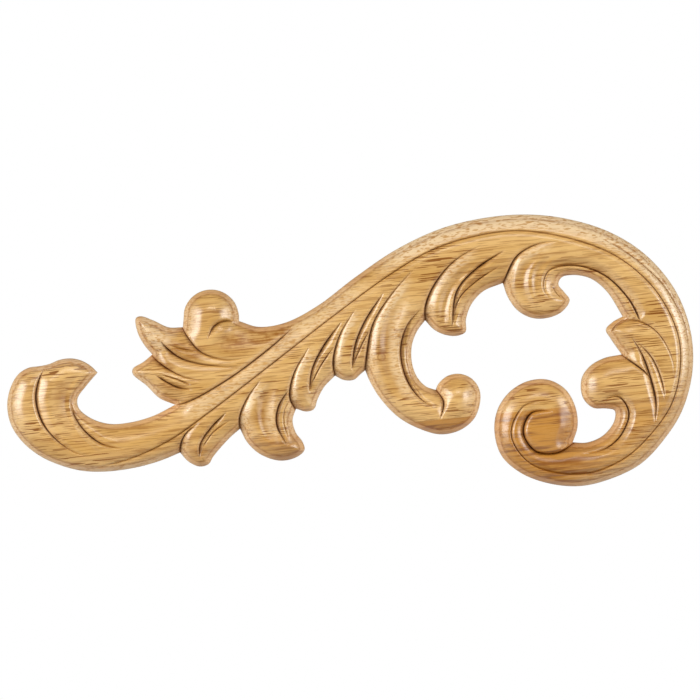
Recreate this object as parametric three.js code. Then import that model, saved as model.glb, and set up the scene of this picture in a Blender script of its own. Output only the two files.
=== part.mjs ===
// Carved acanthus scroll: a wooden applique that is glued or pinned flat to furniture or panelling.
// Millimetres. +X runs along the scroll, +Z is up, the carving faces -Y and the flat back lies at Y = 0.
// The origin is on the back, in the middle of the scroll's length and height.
import * as THREE from 'three';

// Driving dimensions
const LENGTH = 300; // from the outside of the tail's hook to the outside of the scroll
const EDGE_HEIGHT = 2.8; // upright edge all round, measured from the back
const BEVEL_HEIGHT = 2.7; // rise of the steep bevel above the upright edge
const BEVEL_WIDTH = 2.2; // how far in from the edge the bevel ends
const ROLL_HEIGHT = 1.9; // rise of the rounded roll inside the bevel
const ROLL_WIDTH = 6.2; // from the bevel to where the roll is at its full height
const CROWN_HEIGHT = 2.4; // rise of the broad parts above the narrow ones
const CROWN_REACH = 15; // how far in from the edge the crown is at its full height
const BALL_HEIGHT = 1; // rise of the two balls and the volute's eye above the wood round them
const NOTCH_WIDTH = 1.3; // half the width of the narrow notch along the bottom of the deepest cuts
const TOOL_NOSE = 0.6; // half the width of the narrowest cut that the carving tool leaves

// How a cut is shaped. Where cuts overlap, the deeper one rules, with a softened edge between them.
const STEEP_NOTCH = 0.6; // share of a cut's depth that lies in its notch, beside its short bank
const GENTLE_NOTCH = 0.35; // and beside its long bank
const NOTCH_LEAST = 0.5; // of the notch's width that the shallowest cuts keep
const NOTCH_GROWTH = 1.25; // how fast the notch widens with the cut's depth
const BANK_LEAST = 0.4; // of a bank's width that is left where its cut fades out
const BANK_HOLLOW = 1.4; // 1 for a straight long bank, more for a hollow one
const BLEND = 6; // 1 would add overlapping cuts together, and more leaves the deeper one alone

// Fineness of the facets, which has no effect on the size
const FACETS_ALONG = 112; // facets in the scroll's length, along the outline and the cuts
const CURVE_STEPS = 10; // steps in a curve from one of its points to the next
const FILL_STEP = 1.15; // of a facet, between the points of the even fill
const BANK_ROW = 0.8; // of a facet, from a cut to the row of points along each of its banks
const SLIVER = 1e-6; // twice the area of the thinnest triangle allowed, in squares

// Shares of a facet that a new point keeps from the points before it, and from the edge
const CLEARANCE = { cut: 0.45, bank: 0.42, bevel: 0.5, fill: 0.72, edge: 0.3 };

// The fill's points are moved a little, so that no four of them lie on one circle
const JITTER = 0.05; // of a fill step
const COLUMN_WAVE = [12.9, 4.1]; // radians from one point to the next in a row, and from one row to the next
const ROW_WAVE = [7.7, 9.3];

// The pattern is drawn on squared paper: [column, row], columns run right and rows run down.
// Every share below is a share of the wood's own height at that place.

// Points on a circle from one direction to another, in degrees anticlockwise from the right
function arc(column, row, radius, from, to, count) {
  return Array.from({ length: count }, (_, k) => {
    const turn = THREE.MathUtils.degToRad(THREE.MathUtils.lerp(from, to, k / (count - 1)));
    return [column + radius * Math.cos(turn), row - radius * Math.sin(turn)];
  });
}

const STEM_BALL = { column: 211.5, row: 317.3, radius: 27.7 };
const LEAF_BALL = { column: 457.6, row: 396.6, radius: 23 };
const VOLUTE_EYE = { column: 551, row: 431, radius: 24 };

// The outline, anticlockwise as seen from the front. Each stretch ends at the corner where the next starts.
const OUTLINE = [
  // hooked tail, over its tip and along the underside
  [[97.8, 372.5], [91.5, 366.2], [82, 360.6], [71, 358.3], [60, 359.8], [50, 363.9], [40, 366.1],
    [29.5, 367.6], [19, 374.2], [11.5, 387], [8, 405], [12, 425], [24, 442.5], [42, 456.5], [62, 465.3],
    [82, 470.4], [105, 471.4], [135, 467.6], [160, 460.8]],
  // first leaf
  [[180.6, 452.4], [188.5, 461], [200, 466.3], [209, 463.9], [213, 457.3], [221, 447.4], [231, 436.8]],
  // second leaf
  [[240.4, 428.6], [247.5, 442], [260.6, 454], [280, 460.4], [296, 457.3], [304.8, 449.8], [302.6, 441.4],
    [296.5, 433.3], [292.8, 420.5]],
  // third leaf
  [[296.2, 408.6], [307, 411.4], [314.4, 408.8], [317.7, 399.5], [324.2, 387.2]],
  // fourth leaf
  [[335.2, 375.6], [344, 379.9], [354, 379.7], [361, 373.8]],
  // fifth leaf, round its ball
  [[365.4, 370.2], [370.3, 381.8], [381, 399], [399, 417.4], [421, 429.2], [441, 434.2], [460, 430],
    [474.5, 418], ...arc(LEAF_BALL.column, LEAF_BALL.row, LEAF_BALL.radius, -8, 146, 6)],
  [[435.8, 389.8], [426, 386.2], [417, 376.5], [412, 362], [412, 345.5], [417, 331.5]],
  // sixth leaf
  [[425.2, 320.2], [434, 329.4], [445, 334.7], [457, 335.8], [465.6, 331.8], [466, 319.5], [471.3, 304.5],
    [483, 291.5]],
  // seventh leaf, round its curled tip and along the arch
  [[503, 283], [508, 297], [518, 310.6], [533, 318.1], [549, 317.6], [562.5, 311.2], [569.5, 300],
    [564, 292], [558.3, 284.5], [561.6, 277.4], [574, 275], [591, 278.6], [607, 291.5]],
  // eighth leaf
  [[622.8, 316.4], [613, 321.8], [606, 329.6], [610.8, 338.6]],
  // ninth leaf, under its lobe and round the inside of the scroll
  [[621.8, 354.4], [604, 358.1], [589.5, 366.6], [581.6, 379], [583, 397.5], [593, 407.6], [606, 408.4],
    [614.8, 410.6], [614.2, 421.5], [603, 435.6], [587, 442.4]],
  // volute, round its eye and back along the outside of the scroll
  [[572.6, 442.2], [577.4, 426], [575.3, 407], [565.3, 389.2], [548, 379.6], [528, 381], [510, 391.6],
    [497.8, 409.3], [494.6, 431], [501.6, 455.5], [520.6, 472.6], [548, 483], [580, 485.8], [612, 478],
    [641, 463.2], [664.6, 438.2], [682.2, 409.5], [692.2, 370], [690, 330], [674.5, 289.5], [645, 254.6],
    [609, 232], [567, 219], [528, 214.7], [486, 217.8], [441, 228.7], [396, 249.8], [355, 277.6],
    [318, 305.7], [286, 322.5], [259, 326.8]],
  // ball over the stem
  [[239.3, 321], ...arc(STEM_BALL.column, STEM_BALL.row, STEM_BALL.radius, 6, 186, 8)],
  // upper pointed leaf
  [[183.3, 327.2], [169, 327.2], [153, 320.1], [141, 316.2], [136.3, 318.4], [138.4, 333], [145, 345.2]],
  // lower pointed leaf
  [[152.8, 354.4], [144, 361.8], [133.4, 368.6], [133.4, 374], [147, 385.4], [160, 398]],
  // upper edge of the tail, round the inside of its hook
  [[175.6, 404.6], [154, 415.6], [131, 422.2], [110, 423.8], [91.4, 418.2], [79.2, 408.2], [77.8, 398.5],
    [86, 386.4]],
];

// The cuts. A cut's share is how deep it goes. Left and right are how far its banks reach, seen along the
// line: a short bank rolls over and stands proud, and a long one slopes away from the leaf beside it.
// Fades are the lengths over which it starts and runs out. A cut without one runs out through the edge.
const CUTS = [
  // tail: the groove round the hook, and the line inside it
  { share: 0.4, left: 13, right: 10, fadeIn: 20, fadeOut: 75, line: [[47, 365], [39.5, 382], [37.3, 400],
    [44, 422.5], [58, 439.5], [76.5, 452], [97, 458]] },
  { share: 0.34, left: 9, right: 4, fadeIn: 12, fadeOut: 34, line: [[72, 402], [75, 415], [86, 431],
    [102, 443], [126, 449]] },
  // the long line from the tail, along the stem and the outside of the scroll into the volute
  { share: 0.16, left: 3, right: 5, fadeIn: 30, fadeOut: 26, line: [[92, 468], [130, 458.5], [170, 440],
    [211, 411], [271, 364.8], [330, 318.8], [390, 274.8], [430, 251.3], [470, 237.8], [520, 231.3],
    [580, 242], [619.6, 259.3], [654, 290], [675.4, 330.5], [679.3, 362], [671, 402], [648.7, 434.7],
    [620.4, 459.7], [580, 473.5], [530, 463], [510.5, 434], [522, 406.5], [541, 400.4]] },
  // upper side of the stem
  { share: 0.26, left: 5, right: 8, fadeIn: 14, fadeOut: 26, line: [[169, 407.4], [190.4, 400.8],
    [230.6, 377.7], [270.6, 347.7], [297, 324.5]] },
  // ball over the stem, and the curl on it
  { share: 0.36, left: 9, right: 12, fadeIn: 0, fadeOut: 75, line: [[180, 322], [188, 336.4], [203, 352.5],
    [228, 360], [252, 357]] },
  { share: 0.28, left: 10, right: 4, fadeIn: 10, fadeOut: 12, line: [[236, 322.5], [226, 321], [215, 326],
    [208.2, 339.6]] },
  // upper pointed leaf
  { share: 0.42, left: 7, right: 11, fadeIn: 14, fadeOut: 70, line: [[160.8, 339.8], [168, 348], [182, 358],
    [200, 363.5], [240, 368]] },
  { share: 0.12, left: 4, right: 6, fadeIn: 14, fadeOut: 12, line: [[165.5, 343], [180, 348],
    [206, 353.5]] },
  { share: 0.36, left: 8, right: 11, fadeIn: 0, fadeOut: 44, line: [[148, 350.5], [160, 362.5],
    [182, 375.5], [204, 381.5]] },
  // lower pointed leaf
  { share: 0.32, left: 6, right: 4, fadeIn: 9, fadeOut: 16, line: [[156, 374.5], [166, 381], [178, 387],
    [194, 390]] },
  { share: 0.18, left: 3, right: 5, fadeIn: 8, fadeOut: 8, line: [[160, 374], [175, 378], [193, 385]] },
  // first leaf
  { share: 0.42, left: 8, right: 9, fadeIn: 0, fadeOut: 36, line: [[181, 459], [181, 446], [186, 434],
    [202.6, 420.6]] },
  { share: 0.32, left: 7, right: 3, fadeIn: 16, fadeOut: 8, line: [[228, 411], [211, 428], [201, 444],
    [200, 458]] },
  { share: 0.18, left: 3, right: 7, fadeIn: 16, fadeOut: 8, line: [[233, 418.5], [214, 432], [202, 449]] },
  // second leaf
  { share: 0.42, left: 8, right: 12, fadeIn: 0, fadeOut: 52, line: [[242, 436], [240, 418], [248, 397.6],
    [264, 376]] },
  { share: 0.42, left: 8, right: 3, fadeIn: 22, fadeOut: 22, line: [[291, 387], [279.2, 405.2], [277, 424],
    [288, 446]] },
  // third leaf
  { share: 0.42, left: 7, right: 8, fadeIn: 0, fadeOut: 60, line: [[299, 414], [290.3, 398], [294.3, 373.5],
    [312, 343]] },
  { share: 0.34, left: 7, right: 3, fadeIn: 26, fadeOut: 8, line: [[343, 320], [324, 345.5], [312.5, 369],
    [309.5, 392]] },
  { share: 0.2, left: 3, right: 7, fadeIn: 16, fadeOut: 8, line: [[336, 344], [321, 366], [310.5, 386]] },
  // fourth leaf
  { share: 0.4, left: 7, right: 8, fadeIn: 0, fadeOut: 62, line: [[336.5, 381], [333.3, 362],
    [339.8, 335.3], [357.4, 306.2]] },
  { share: 0.34, left: 7, right: 3, fadeIn: 26, fadeOut: 8, line: [[384.5, 291.5], [365.6, 320],
    [355.5, 344], [352, 370]] },
  { share: 0.2, left: 3, right: 7, fadeIn: 16, fadeOut: 8, line: [[372, 325], [362, 345], [352.5, 366]] },
  // fifth leaf, and the step down from its ball
  { share: 0.44, left: 8, right: 11, fadeIn: 0, fadeOut: 105, line: [[365, 377], [366.7, 355], [373, 324],
    [391, 294.8], [418, 265]] },
  { share: 0.42, left: 6, right: 3, fadeIn: 40, fadeOut: 36, line: [[422.8, 306], [407, 325.5],
    [400.5, 350], [406, 378], [420, 398.5], [435, 407]] },
  { share: 0.42, left: 7, right: 10, fadeIn: 0, fadeOut: 16, line: [[434, 387], [443.5, 401], [442.5, 411],
    [439, 420]] },
  // sixth leaf
  { share: 0.42, left: 8, right: 11, fadeIn: 0, fadeOut: 85, line: [[426.5, 327], [425, 308],
    [433.7, 285.3], [453, 262], [484, 243.5]] },
  { share: 0.36, left: 6, right: 3, fadeIn: 26, fadeOut: 14, line: [[505, 250], [476.3, 268.4],
    [456.7, 290.7], [451.5, 328]] },
  { share: 0.2, left: 3, right: 6, fadeIn: 20, fadeOut: 8, line: [[501, 265.5], [478, 280], [460, 297],
    [452.5, 316]] },
  // seventh leaf, its curled tip and the line along the arch
  { share: 0.42, left: 8, right: 10, fadeIn: 0, fadeOut: 62, line: [[501.5, 289], [505.5, 277],
    [516, 256.5], [536, 244.8], [558, 241.5]] },
  { share: 0.38, left: 9, right: 5, fadeIn: 70, fadeOut: 8, line: [[552, 303], [543, 288], [548, 271],
    [575, 265.8], [604, 275.6], [627.7, 299.2], [640, 322.5]] },
  // eighth leaf
  { share: 0.26, left: 8, right: 6, fadeIn: 4, fadeOut: 80, line: [[611, 333], [614.4, 326.8], [622, 320.8],
    [638, 321.4], [653, 330], [663.5, 343], [671.5, 362], [673, 378]] },
  { share: 0.2, left: 4, right: 5, fadeIn: 18, fadeOut: 18, line: [[634, 340], [650.4, 357.3], [660, 379.3],
    [664, 400]] },
  { share: 0.38, left: 6, right: 8, fadeIn: 30, fadeOut: 30, line: [[629, 335], [640.5, 353],
    [649.5, 377.4], [654.8, 402], [653.5, 424]] },
  { share: 0.34, left: 6, right: 6, fadeIn: 0, fadeOut: 22, line: [[616, 351], [629.4, 360.8],
    [644.4, 372.8], [654.3, 386.7]] },
  // ninth leaf
  { share: 0.32, left: 7, right: 6, fadeIn: 22, fadeOut: 40, line: [[601.2, 400.4], [617.8, 396.7],
    [627.9, 412], [620, 434.8], [603, 449], [580, 454]] },
  // eye of the volute
  { share: 0.4, left: 7, right: 10, fadeIn: 26, fadeOut: 0, line: [[552, 410], [530.6, 413], [523, 432],
    [535, 450.5], [556, 452.5], [580, 438.5]] },
];

// The flutes: shallow round hollows between the cuts, described in the same way
const FLUTES = [
  // tail
  { share: 0.14, left: 5, right: 20, fadeIn: 16, fadeOut: 30, line: [[86, 370], [70, 386], [67, 408],
    [78, 432], [104, 455]] },
  // below the ball over the stem
  { share: 0.08, left: 13, right: 12, fadeIn: 16, fadeOut: 40, line: [[212, 342], [236, 340], [265, 334],
    [296, 318]] },
  // second leaf
  { share: 0.2, left: 13, right: 10, fadeIn: 24, fadeOut: 14, line: [[277, 378], [267, 398], [266.5, 422],
    [278, 446]] },
  // fifth leaf
  { share: 0.18, left: 11, right: 12, fadeIn: 30, fadeOut: 20, line: [[411, 288], [394, 318], [388.5, 347],
    [394, 377], [412, 404]] },
  // sixth leaf
  { share: 0.18, left: 7, right: 7, fadeIn: 20, fadeOut: 10, line: [[472, 266], [450, 288], [443.5, 308],
    [444, 328]] },
  // seventh leaf
  { share: 0.13, left: 7, right: 8, fadeIn: 18, fadeOut: 12, line: [[540, 253], [524, 270], [522.5, 290],
    [533, 308]] },
  { share: 0.1, left: 6, right: 7, fadeIn: 18, fadeOut: 12, line: [[553, 255], [538, 271], [536, 290],
    [543, 306]] },
];

// A smooth curve through hand-set points, as a row of short straight steps
function smoothLine(points) {
  const curve = new THREE.CatmullRomCurve3(points.map(([column, row]) => new THREE.Vector3(column, row, 0)));
  return curve.getPoints(CURVE_STEPS * (points.length - 1)).map(({ x, y }) => [x, y]);
}

function distance([columnA, rowA], [columnB, rowB]) {
  return Math.hypot(columnB - columnA, rowB - rowA);
}

// The same line in steps of equal length, close to the length asked for
function equalSteps(line, step) {
  const reach = [0];
  for (let i = 1; i < line.length; i += 1) reach.push(reach[i - 1] + distance(line[i - 1], line[i]));
  const total = reach.at(-1);
  const count = Math.max(1, Math.round(total / step));
  const result = [line[0]];
  let i = 1;
  for (let k = 1; k < count; k += 1) {
    const want = (total * k) / count;
    while (reach[i] < want) i += 1;
    const share = (want - reach[i - 1]) / (reach[i] - reach[i - 1]);
    result.push([0, 1].map((axis) => THREE.MathUtils.lerp(line[i - 1][axis], line[i][axis], share)));
  }
  result.push(line.at(-1));
  return result;
}

const stretches = OUTLINE.map((points, i) => smoothLine([...points, OUTLINE[(i + 1) % OUTLINE.length][0]]));
const outline = stretches.flatMap((line) => line.slice(0, -1));
const columns = outline.map(([column]) => column);
const rows = outline.map(([, row]) => row);
const firstColumn = Math.min(...columns);
const lastColumn = Math.max(...columns);
const middle = [(firstColumn + lastColumn) / 2, (Math.min(...rows) + Math.max(...rows)) / 2];
const SQUARE = LENGTH / (lastColumn - firstColumn); // side of one square of the paper
const FACET = (lastColumn - firstColumn) / FACETS_ALONG; // facet length, in squares
const carving = [
  ...CUTS.map((cut) => ({ ...cut, round: false, curve: smoothLine(cut.line) })),
  ...FLUTES.map((flute) => ({ ...flute, round: true, curve: smoothLine(flute.line) })),
];

// The place on a line nearest to a point: how far away, on which side, and how far along the line
function nearest(line, [column, row], closed = false) {
  const best = { gap: Infinity, right: true, along: 0, total: 0 };
  const count = closed ? line.length : line.length - 1;
  for (let i = 0; i < count; i += 1) {
    const [startColumn, startRow] = line[i];
    const [endColumn, endRow] = line[(i + 1) % line.length];
    const goColumn = endColumn - startColumn;
    const goRow = endRow - startRow;
    const awayColumn = column - startColumn;
    const awayRow = row - startRow;
    const lengthSquared = goColumn ** 2 + goRow ** 2;
    const share = THREE.MathUtils.clamp((awayColumn * goColumn + awayRow * goRow) / lengthSquared, 0, 1);
    const gap = Math.hypot(awayColumn - share * goColumn, awayRow - share * goRow);
    const length = Math.sqrt(lengthSquared);
    if (gap < best.gap) {
      best.gap = gap;
      best.right = goColumn * awayRow - goRow * awayColumn > 0;
      best.along = best.total + share * length;
    }
    best.total += length;
  }
  return best;
}

function isInside([column, row]) {
  let inside = false;
  for (let i = 0, j = outline.length - 1; i < outline.length; j = i, i += 1) {
    const [columnA, rowA] = outline[i];
    const [columnB, rowB] = outline[j];
    const crosses = rowA > row !== rowB > row;
    if (crosses && column < columnA + ((columnB - columnA) * (row - rowA)) / (rowB - rowA)) inside = !inside;
  }
  return inside;
}

// The depth of a rounded shoulder: 1 at the bottom of its cut, and 0 where the shoulder ends
function rounded(share) {
  return 1 - Math.sqrt(1 - (1 - share) ** 2);
}

// How much of the wood's height one cut or flute takes away at a point
function takenBy({ share, left, right, fadeIn, fadeOut, round, curve }, point) {
  const near = nearest(curve, point);
  const start = fadeIn > 0 ? Math.min(1, near.along / fadeIn) : 1;
  const finish = fadeOut > 0 ? Math.min(1, (near.total - near.along) / fadeOut) : 1;
  const fade = start * finish;
  const [side, opposite] = near.right ? [right, left] : [left, right];
  const bank = Math.max(side * THREE.MathUtils.lerp(BANK_LEAST, 1, fade), TOOL_NOSE / SQUARE);
  const across = near.gap / bank;
  if (across >= 1) return 0;
  if (round) return share * fade * (1 - across ** 2) ** 2;
  const notch = Math.min((NOTCH_WIDTH * (NOTCH_LEAST + NOTCH_GROWTH * share * fade)) / SQUARE, bank);
  const acrossNotch = Math.min(1, near.gap / notch);
  const isShort = side <= opposite;
  const slope = isShort ? rounded(across) : (1 - across) ** BANK_HOLLOW;
  const notchShare = isShort ? STEEP_NOTCH : GENTLE_NOTCH;
  return share * fade * THREE.MathUtils.lerp(slope, rounded(acrossNotch), notchShare);
}

function carvedAway(point) {
  const sum = carving.reduce((total, cut) => total + takenBy(cut, point) ** BLEND, 0);
  return sum ** (1 / BLEND);
}

function ballRise(point) {
  const rises = [STEM_BALL, LEAF_BALL, VOLUTE_EYE].map(({ column, row, radius }) => {
    const across = distance(point, [column, row]) / radius;
    return BALL_HEIGHT * Math.max(0, 1 - across ** 2);
  });
  return Math.max(...rises);
}

// Height of the carved face above the back
function heightAt(point, fromEdge) {
  const depth = fromEdge * SQUARE;
  const bevel = Math.min(1, depth / BEVEL_WIDTH);
  const roll = THREE.MathUtils.clamp((depth - BEVEL_WIDTH) / ROLL_WIDTH, 0, 1);
  const crown = Math.min(1, depth / CROWN_REACH);
  const uncut = EDGE_HEIGHT
    + BEVEL_HEIGHT * bevel
    + ROLL_HEIGHT * Math.sin((roll * Math.PI) / 2)
    + CROWN_HEIGHT * Math.sin((crown * Math.PI) / 2)
    + ballRise(point) * roll;
  return uncut * (1 - carvedAway(point));
}

// The points of the faceted face: first the edge, then rows along the cuts, then an even fill
const points = stretches.flatMap((line) => equalSteps(line, FACET).slice(0, -1));
const rimCount = points.length;

function addPoint(point, clearance) {
  if (points.some((other) => distance(other, point) < clearance * FACET)) return;
  if (!isInside(point)) return;
  if (nearest(outline, point, true).gap < CLEARANCE.edge * FACET) return;
  points.push(point);
}

// The points of a line moved sideways, to its right when the offset is positive
function besideLine(line, offset) {
  return line.map(([column, row], i) => {
    const [fromColumn, fromRow] = line[Math.max(0, i - 1)];
    const [toColumn, toRow] = line[Math.min(line.length - 1, i + 1)];
    const length = distance([fromColumn, fromRow], [toColumn, toRow]);
    return [
      column - (offset * (toRow - fromRow)) / length,
      row + (offset * (toColumn - fromColumn)) / length,
    ];
  });
}

const cutRows = carving
  .filter(({ round }) => !round)
  .map((cut) => ({ ...cut, row: equalSteps(cut.curve, FACET) }));
cutRows.forEach(({ row }) => row.forEach((point) => addPoint(point, CLEARANCE.cut)));
cutRows.forEach(({ left, right, row }) => {
  besideLine(row, -Math.min(left, BANK_ROW * FACET)).forEach((point) => addPoint(point, CLEARANCE.bank));
  besideLine(row, Math.min(right, BANK_ROW * FACET)).forEach((point) => addPoint(point, CLEARANCE.bank));
});
stretches.forEach((line) => {
  const row = besideLine(equalSteps(line, FACET), -BEVEL_WIDTH / SQUARE);
  row.forEach((point) => addPoint(point, CLEARANCE.bevel));
});
const FILL = FILL_STEP * FACET;
const ROW_GAP = (FILL * Math.sqrt(3)) / 2;
const wave = (i, j, [along, across]) => JITTER * Math.sin(i * along + j * across);
for (let j = 0; j * ROW_GAP < Math.max(...rows) - Math.min(...rows); j += 1) {
  for (let i = 0; i * FILL < lastColumn - firstColumn; i += 1) {
    const column = firstColumn + FILL * (i + (j % 2) / 2 + wave(i, j, COLUMN_WAVE));
    const row = Math.min(...rows) + ROW_GAP * (j + wave(i, j, ROW_WAVE));
    addPoint([column, row], CLEARANCE.fill);
  }
}

// Twice the area of a triangle, positive when its corners run clockwise on the paper
function turn([columnA, rowA], [columnB, rowB], [columnC, rowC]) {
  return (columnB - columnA) * (rowC - rowA) - (rowB - rowA) * (columnC - columnA);
}

// A triangle with the circle through its corners
function makeTriangle(a, b, c) {
  const [columnA, rowA] = points[a];
  const right = [points[b][0] - columnA, points[b][1] - rowA];
  const down = [points[c][0] - columnA, points[c][1] - rowA];
  const scale = 2 * (right[0] * down[1] - right[1] * down[0]);
  const rightSquared = right[0] ** 2 + right[1] ** 2;
  const downSquared = down[0] ** 2 + down[1] ** 2;
  const column = (down[1] * rightSquared - right[1] * downSquared) / scale;
  const row = (right[0] * downSquared - down[0] * rightSquared) / scale;
  return { corners: [a, b, c], column: columnA + column, row: rowA + row, reach: column ** 2 + row ** 2 };
}

const edgeKey = (a, b) => (a < b ? `${a} ${b}` : `${b} ${a}`);
const edgesOf = ({ corners: [a, b, c] }) => [[a, b], [b, c], [c, a]];

// The hole that a new point opens: the triangles round it whose circles hold it and whose sides it can see
function holeFor(index, triangles) {
  const point = points[index];
  const touched = triangles.filter(({ column, row, reach }) => {
    return (point[0] - column) ** 2 + (point[1] - row) ** 2 < reach;
  });
  const home = touched.find((triangle) => edgesOf(triangle)
    .every(([a, b]) => turn(points[a], points[b], point) > 0));
  const blocked = new Set();
  for (;;) {
    const hole = [home];
    for (let i = 0; i < hole.length; i += 1) {
      const keys = edgesOf(hole[i]).map(([a, b]) => edgeKey(a, b));
      const next = touched.filter((other) => !hole.includes(other) && !blocked.has(other)
        && edgesOf(other).some(([a, b]) => keys.includes(edgeKey(a, b))));
      hole.push(...next);
    }
    const uses = new Map();
    hole.flatMap(edgesOf).forEach(([a, b]) => uses.set(edgeKey(a, b), (uses.get(edgeKey(a, b)) ?? 0) + 1));
    const rim = hole.flatMap((triangle) => edgesOf(triangle)
      .filter(([a, b]) => uses.get(edgeKey(a, b)) === 1)
      .map(([a, b]) => ({ a, b, triangle })));
    const hidden = rim.find(({ a, b, triangle }) => triangle !== home
      && turn(points[a], points[b], point) < SLIVER);
    if (!hidden) return { hole, rim };
    blocked.add(hidden.triangle);
  }
}

// Triangles over the whole face: the bare outline first, then every point inside it
function triangulate() {
  const rim = points.slice(0, rimCount).map(([column, row]) => new THREE.Vector2(column, row));
  let triangles = THREE.ShapeUtils.triangulateShape(rim, []).map(([a, b, c]) => {
    return turn(points[a], points[b], points[c]) > 0 ? makeTriangle(a, b, c) : makeTriangle(a, c, b);
  });
  const bare = triangles.map(({ corners }) => corners);
  for (let index = rimCount; index < points.length; index += 1) {
    const { hole, rim: around } = holeFor(index, triangles);
    triangles = triangles.filter((triangle) => !hole.includes(triangle));
    around.forEach(({ a, b }) => triangles.push(makeTriangle(a, b, index)));
  }
  return { face: triangles.map(({ corners }) => corners), back: bare };
}

// The closed solid: the carved face, the flat back and the upright edge between them
function carvedScroll() {
  const { face, back } = triangulate();
  const place = ([column, row], height) => [
    (column - middle[0]) * SQUARE,
    -height,
    (middle[1] - row) * SQUARE,
  ];
  const front = points.map((point, i) => {
    const fromEdge = i < rimCount ? 0 : nearest(outline, point, true).gap;
    return place(point, heightAt(point, fromEdge));
  });
  const rear = points.slice(0, rimCount).map((point) => place(point, 0));
  const rearOf = (i) => front.length + i;
  const walls = rear.flatMap((_, i) => {
    const next = (i + 1) % rimCount;
    return [[i, rearOf(next), next], [i, rearOf(i), rearOf(next)]];
  });
  const faces = [
    ...face.map(([a, b, c]) => [a, c, b]),
    ...back.map(([a, b, c]) => [rearOf(a), rearOf(b), rearOf(c)]),
    ...walls,
  ];
  const geometry = new THREE.BufferGeometry();
  geometry.setAttribute('position', new THREE.Float32BufferAttribute([...front, ...rear].flat(), 3));
  geometry.setIndex(faces.flat());
  geometry.computeVertexNormals();
  return geometry;
}

const wood = new THREE.MeshStandardMaterial({ color: 0xc98f52, roughness: 0.5, metalness: 0 });
const scroll = new THREE.Mesh(carvedScroll(), wood);
scroll.name = 'carved_scroll';

const applique = new THREE.Group();
applique.add(scroll);

export default applique;
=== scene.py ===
"""Looks of the carved scroll applique: finely carved wood, a pale studio floor, soft lights and the camera.

The carving follows the solid's rules with closer points, and adds the lines that are too fine for the solid.
"""
import math

import bpy
import numpy as np
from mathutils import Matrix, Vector
from mathutils.geometry import delaunay_2d_cdt
from mathutils.kdtree import KDTree


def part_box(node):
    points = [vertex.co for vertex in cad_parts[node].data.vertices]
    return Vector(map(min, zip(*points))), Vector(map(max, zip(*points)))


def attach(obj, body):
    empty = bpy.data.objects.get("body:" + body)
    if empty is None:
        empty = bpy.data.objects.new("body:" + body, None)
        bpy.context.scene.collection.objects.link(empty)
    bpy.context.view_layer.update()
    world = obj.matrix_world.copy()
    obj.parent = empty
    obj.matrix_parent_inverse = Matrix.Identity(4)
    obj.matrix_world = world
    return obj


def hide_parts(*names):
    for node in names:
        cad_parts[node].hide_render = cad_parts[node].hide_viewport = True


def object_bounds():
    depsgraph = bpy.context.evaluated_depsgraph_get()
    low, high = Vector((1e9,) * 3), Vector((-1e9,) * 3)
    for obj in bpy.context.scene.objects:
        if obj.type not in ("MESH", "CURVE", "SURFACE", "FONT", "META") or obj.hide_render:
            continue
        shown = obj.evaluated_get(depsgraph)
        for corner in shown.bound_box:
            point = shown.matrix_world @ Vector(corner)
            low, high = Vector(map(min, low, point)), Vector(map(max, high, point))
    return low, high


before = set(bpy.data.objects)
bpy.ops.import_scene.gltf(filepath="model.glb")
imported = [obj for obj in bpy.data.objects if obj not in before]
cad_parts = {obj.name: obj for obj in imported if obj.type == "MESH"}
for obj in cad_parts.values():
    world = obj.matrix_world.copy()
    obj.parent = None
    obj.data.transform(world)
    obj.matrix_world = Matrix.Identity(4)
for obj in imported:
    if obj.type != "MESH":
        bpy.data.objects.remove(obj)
cad_low, cad_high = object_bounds()
scroll_low, scroll_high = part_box("carved_scroll")

MM = 0.001

# The carving's heights and widths, the same as the solid's
EDGE_HEIGHT = 2.8 * MM
BEVEL_HEIGHT = 2.7 * MM
BEVEL_WIDTH = 2.2 * MM
ROLL_HEIGHT = 1.9 * MM
ROLL_WIDTH = 6.2 * MM
CROWN_HEIGHT = 2.4 * MM
CROWN_REACH = 15 * MM
BALL_HEIGHT = 1 * MM

# The section of a cut, the same as the solid's
NOTCH_WIDTH = 1.3 * MM  # half the width of the narrow notch along the bottom of a deep cut
STEEP_NOTCH = 0.6  # share of a cut's depth that lies in its notch, beside its short bank
GENTLE_NOTCH = 0.35  # and beside its long bank
NOTCH_LEAST = 0.5  # of the notch's width that the shallowest cuts keep
NOTCH_GROWTH = 1.25  # how fast the notch widens with the cut's depth
BANK_LEAST = 0.4  # of a bank's width that is left where its cut fades out
BANK_HOLLOW = 1.4  # 1 for a straight long bank, more for a hollow one
BLEND = 6  # where cuts overlap the deeper one rules, with a softened edge between them

# The fine line between the edge's bevel and its roll, which the solid leaves out
LINE_DEPTH = 0.4 * MM
LINE_WIDTH = 0.3 * MM  # half its width

# The painted shade along the bottom of a cut, and the painted shade in a flute
CREASE_SHADE_WIDTH = 0.42  # half the width of the painted shade in the shallowest cuts, in squares
CREASE_SHADE_WIDTH_GROWTH = 1.15  # how fast it widens with the cut's depth
CREASE_SHADE_LEAST = 0.15  # how dark it is in the shallowest cuts
CREASE_SHADE_GROWTH = 2  # how fast it darkens with the cut's depth
HOLLOW_SHADE_START = 0.05  # share of its height that a flute takes away before its painted shade comes in
HOLLOW_SHADE_GROWTH = 0.8  # how fast the painted shade then deepens

CURVE_STEPS = 10  # how many straight steps stand for a curve between two given points
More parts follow.
